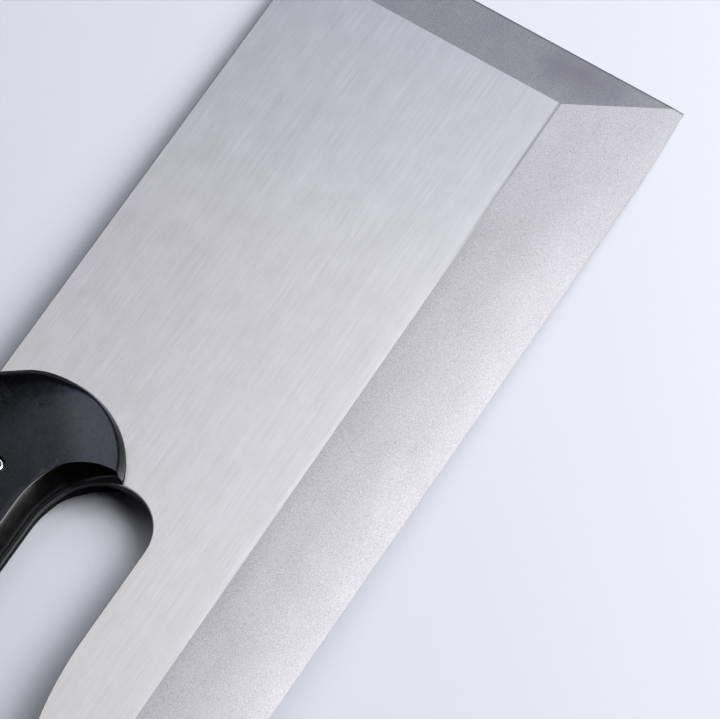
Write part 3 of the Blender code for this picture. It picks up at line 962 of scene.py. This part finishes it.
def blasted_steel():
    """Both bevels: matt grain, painted light towards the cutting edge, painted shade towards the tip, a
    painted dark reflection on the tip bevel and a painted line of shade at the tip.
    """
    finish = Finish("blasted_steel")
    grain = finish.noise((0.00034, 0.00034, 0.00034), detail=3.0, roughness=0.7)
    clouds = finish.noise((0.020, 0.010, 0.010), detail=3.0)
    steel = finish.blend(finish.spread(grain, 0.0, 1.0),
                         (0.310, 0.305, 0.325, 1.0), (0.552, 0.544, 0.571, 1.0))
    # Painted light: the bevel lightens towards the cutting edge.
    painted_light_by_edge = finish.scaled(finish.above_ridge(), -BEVEL_WIDTH_AT_HEEL,
                            -LIGHT_EDGE_FROM * BEVEL_WIDTH_AT_HEEL, 1.0, 0.0)
    steel = finish.blend(painted_light_by_edge, steel, finish.times(steel, (1.12, 1.12, 1.12, 1.0)))
    # Painted shade: the bevels darken slightly towards the tip.
    painted_shade_near_tip = finish.scaled(finish.along("X"), DARK_LINE_FROM, DARK_LINE_TO, 0.0, 1.0)
    steel = finish.blend(painted_shade_near_tip, steel, finish.times(steel, (0.96, 0.96, 0.97, 1.0)))
    # Painted dark reflection: a ragged dark patch on the tip bevel.
    reach = finish.math("ADD", finish.distance(PATCH_PLACE, PATCH_LENGTH, PATCH_HEIGHT),
                        finish.spread(clouds, -PATCH_RAGGED, PATCH_RAGGED))
    painted_dark_reflection = finish.scaled(reach, PATCH_CORE, 1.0, PATCH_DARKNESS, 0.0)
    steel = finish.blend(painted_dark_reflection, steel, (0.27, 0.26, 0.29, 1.0))
    # Painted shade: a thin dark line along the tip's end.
    painted_shade_at_tip = finish.scaled(finish.along("X"), TIP_X - TIP_LINE_WIDTH, TIP_X, 0.0, 1.0)
    finish.set("Base Color", finish.blend(painted_shade_at_tip, steel, (0.12, 0.118, 0.125, 1.0)))
    finish.set("Metallic", 1.0)
    finish.set("Roughness", finish.spread(clouds, 0.49, 0.56))
    finish.set("Normal", finish.bump(grain, 9.0 * MICRON))
    return finish.material


def wall_steel():
    """Spine, tang and gap walls: coarse grinding marks and a dull sheen, with the steel painted nearly
    black as painted shade.
    """
    finish = Finish("wall_steel")
    marks = finish.noise((0.0020, 0.0020, 0.00025), detail=3.0, roughness=0.6)
    # Painted shade: the steel's colour is nearly black, for the shade that these walls reflect.
    finish.set("Base Color", finish.blend(finish.spread(marks, 0.0, 1.0),
                                          (0.012, 0.012, 0.013, 1.0), (0.030, 0.029, 0.030, 1.0)))
    finish.set("Metallic", 1.0)
    finish.set("Roughness", 0.38)
    return finish.material


def laminate_mottle(finish):
    """Blotches of the laminate, on its faces and in the scoop alike."""
    return finish.noise((0.0030, 0.0020, 0.0020), detail=5.0, roughness=0.7)


def black_laminate():
    """Scales: black, resin-filled wood, duller above the worn line and towards the butt."""
    finish = Finish("black_laminate")
    mottle = laminate_mottle(finish)
    grain = finish.noise((0.0006, 0.0004, 0.0004), detail=3.0, roughness=0.7)
    spots = finish.math("MULTIPLY", finish.spread(mottle, 0.4, 1.0, SPOT_REACH),
                        finish.spread(grain, 0.0, 1.0, SPOT_REACH))
    finish.set("Base Color", finish.blend(spots, (0.0008, 0.0009, 0.0013, 1.0),
                                          (0.006, 0.0057, 0.0066, 1.0)))
    finish.set("Roughness", finish.spread(mottle, 0.19, 0.29))
    polish = finish.scaled(finish.along("X"), POLISH_FROM, POLISH_TO, 0.31, 0.55)
    above_worn_line = finish.math("ADD", finish.beyond(*WORN_LINE),
                                  finish.spread(mottle, -WORN_WAVER, WORN_WAVER))
    polish = finish.math("MULTIPLY", polish,
                         finish.scaled(above_worn_line, *WORN_FADE, 1.0, WORN_POLISH))
    finish.set("Specular IOR Level", finish.math("MULTIPLY", polish, finish.spread(grain, 0.75, 1.25)))
    finish.set("Specular Tint", (0.80, 0.85, 1.0, 1.0))
    finish.set("Normal", finish.bump(mottle, 4.0 * MICRON))
    return finish.material


def dull_laminate():
    """Upright walls of the scales, which are left unpolished."""
    finish = Finish("dull_laminate")
    grain = finish.noise((0.0015, 0.0015, 0.0004), detail=4.0, roughness=0.6)
    finish.set("Base Color", finish.blend(grain, (0.0003, 0.0003, 0.0004, 1.0),
                                          (0.0012, 0.0012, 0.0015, 1.0)))
    finish.set("Roughness", 0.5)
    finish.set("Specular IOR Level", 0.03)
    return finish.material


def oiled_laminate():
    """Finger scoop, kept black and bright by the hand."""
    finish = Finish("oiled_laminate")
    mottle = laminate_mottle(finish)
    finish.set("Base Color", finish.blend(mottle, (0.0002, 0.0002, 0.0003, 1.0),
                                          (0.0010, 0.0010, 0.0012, 1.0)))
    finish.set("Roughness", finish.spread(mottle, 0.17, 0.24))
    finish.set("Specular IOR Level", 0.58)
    finish.set("Normal", finish.bump(mottle, 4.0 * MICRON))
    return finish.material


def rolled_steel():
    """Rivets: bright, with faint scratches from rolling."""
    finish = Finish("rolled_steel")
    marks = finish.noise((0.0006, 0.0006, 0.0006), detail=4.0, roughness=0.6)
    finish.set("Base Color", (0.86, 0.85, 0.83, 1.0))
    finish.set("Metallic", 1.0)
    finish.set("Roughness", finish.spread(marks, 0.12, 0.24))
    finish.set("Normal", finish.bump(marks, 4.0 * MICRON))
    return finish.material


def pale_floor():
    finish = Finish("pale_floor")
    fibre = finish.noise((0.0012, 0.0012, 0.0012), detail=3.0)
    finish.set("Base Color", finish.blend(fibre, (0.722, 0.737, 0.815, 1.0),
                                          (0.742, 0.757, 0.835, 1.0)))
    finish.set("Roughness", 0.7)
    finish.set("Specular IOR Level", 0.2)
    return finish.material


# Dressing of the knife


def paint(item, materials, finish_of):
    """Give item these materials, and each face the one that finish_of picks."""
    item.data.materials.clear()
    for material in materials:
        item.data.materials.append(material)
    for face in item.data.polygons:
        face.material_index = finish_of(face)


def finish_of_blade(face):
    if abs(face.normal.z) < UPRIGHT:
        return WALLS
    middle = face.center
    beyond_ridge = middle.y < shinogi_y(middle.x) or middle.x > TIP_X - TIP_BEVEL_WIDTH
    return BEVELS if on_right_side(face) and beyond_ridge else FLAT


def finish_of_scale(face):
    if abs(face.normal.z) < UPRIGHT:
        return SIDES
    below_rivets = face.center.y < RIVET_Y
    in_scoop = face.normal.y < -SCOOP_LEAN and face.normal.x < RIM_LEAN and below_rivets
    return SCOOP if in_scoop else FACE


def smooth(item, weighted):
    """Smooth shading up to the smoothing angle, with large faces kept flat if weighted."""
    pick(item)
    bpy.ops.object.shade_smooth_by_angle(angle=SMOOTH_ANGLE, keep_sharp_edges=True)
    if weighted:
        modifier = item.modifiers.new("weighted", "WEIGHTED_NORMAL")
        modifier.keep_sharp = True
        modifier.weight = LARGE_FACE_WEIGHT
        bpy.ops.object.modifier_apply(modifier=modifier.name)


def attach(item, node):
    """Let item stand for its CAD node on the knife's one body."""
    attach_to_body(item, "root")
    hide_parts(node)


def dress_blade():
    blade = fine_blade()
    paint(blade, (satin_steel(), blasted_steel(), wall_steel()), finish_of_blade)
    smooth(blade, weighted=True)
    attach(blade, "blade")


def dress_scales():
    materials = (black_laminate(), dull_laminate(), oiled_laminate())
    for name, node, side in (("right_grip", "right_scale", 1), ("left_grip", "left_scale", -1)):
        scale = fine_scale(name, side)
        paint(scale, materials, finish_of_scale)
        smooth(scale, weighted=False)
        attach(scale, node)


def dress_rivets():
    bright = rolled_steel()
    for name, rivet in zip(RIVET_NAMES, fine_rivets()):
        rivet.data.materials.append(bright)
        smooth(rivet, weighted=False)
        attach(rivet, f"{name}_rivet")


# Floor, lamps and camera


def add_floor():
    bpy.ops.object.select_all(action="DESELECT")
    bpy.ops.mesh.primitive_plane_add(size=FLOOR_SIZE)
    floor = bpy.context.object
    floor.name = "floor"
    turn = Matrix.Rotation(-FLOOR_TILT, 4, "Y")
    floor.data.transform(Matrix.Translation((REST_X, 0.0, -FLOOR_CLEARANCE)) @ turn)
    floor.data.materials.append(pale_floor())


def softbox(name, azimuth, elevation, radiance, width=LAMP_SIZE, height=LAMP_SIZE, colour=WHITE):
    """Lamp aimed at the knife's middle. Azimuth 0 is at the tip and 90 at the spine, in degrees.

    Radiance 1 shows as white in a mirror.
    """
    direction = heading(math.radians(azimuth), math.radians(elevation))
    data = bpy.data.lights.new(name, "AREA")
    data.shape = "RECTANGLE"
    data.size = width
    data.size_y = height
    data.energy = radiance * math.pi * width * height
    data.color = colour
    lamp = bpy.data.objects.new(name, data)
    lamp.location = direction * LAMP_DISTANCE
    lamp.rotation_mode = "QUATERNION"
    lamp.rotation_quaternion = direction.to_track_quat("Z", "Y")
    lamp.visible_camera = False
    bpy.context.scene.collection.objects.link(lamp)


def light_studio():
    """Strong lamps on the cutting edge's side, and weak ones that the blade mirrors."""
    softbox("key_high", 318.0, 62.0, 4.2)
    softbox("key", 310.0, 46.0, 7.8)
    softbox("key_low", 305.0, 30.0, 8.0)
    softbox("key_left_high", 288.0, 62.0, 2.7, width=0.50)
    softbox("key_left", 285.0, 46.0, 2.2)
    softbox("key_left_low", 285.0, 30.0, 2.3)
    softbox("overhead", 22.0, 74.0, 1.3)
    softbox("overhead_tip", 8.0, 62.0, 1.7)
    softbox("overhead_heel", 82.0, 66.0, 0.88, width=0.60, height=0.60)
    softbox("back", 66.0, 46.0, 1.5)
    softbox("tip_card", 15.0, 46.0, 0.85, width=0.80, height=0.44, colour=(0.87, 0.93, 1.2))
    softbox("key_far_left", 280.0, 50.0, 3.8)


def blacken_world():
    """Leave the lamps as the only light."""
    world = bpy.data.worlds.new("studio")
    world.use_nodes = True
    world.node_tree.nodes["Background"].inputs["Strength"].default_value = 0.0
    bpy.context.scene.world = world


def add_camera():
    back = heading(CAMERA_HEADING + math.pi, CAMERA_ELEVATION)
    data = bpy.data.cameras.new("camera")
    data.lens = LENS_MM
    data.clip_start = CLIP_START
    data.clip_end = CLIP_END
    camera = bpy.data.objects.new("camera", data)
    camera.location = AIM + back * CAMERA_DISTANCE
    camera.rotation_mode = "QUATERNION"
    camera.rotation_quaternion = back.to_track_quat("Z", "Y")
    bpy.context.scene.collection.objects.link(camera)
    bpy.context.scene.camera = camera


dress_blade()
dress_scales()
dress_rivets()
add_floor()
light_studio()
blacken_world()
add_camera()
bpy.context.scene.view_settings.view_transform = "Standard"
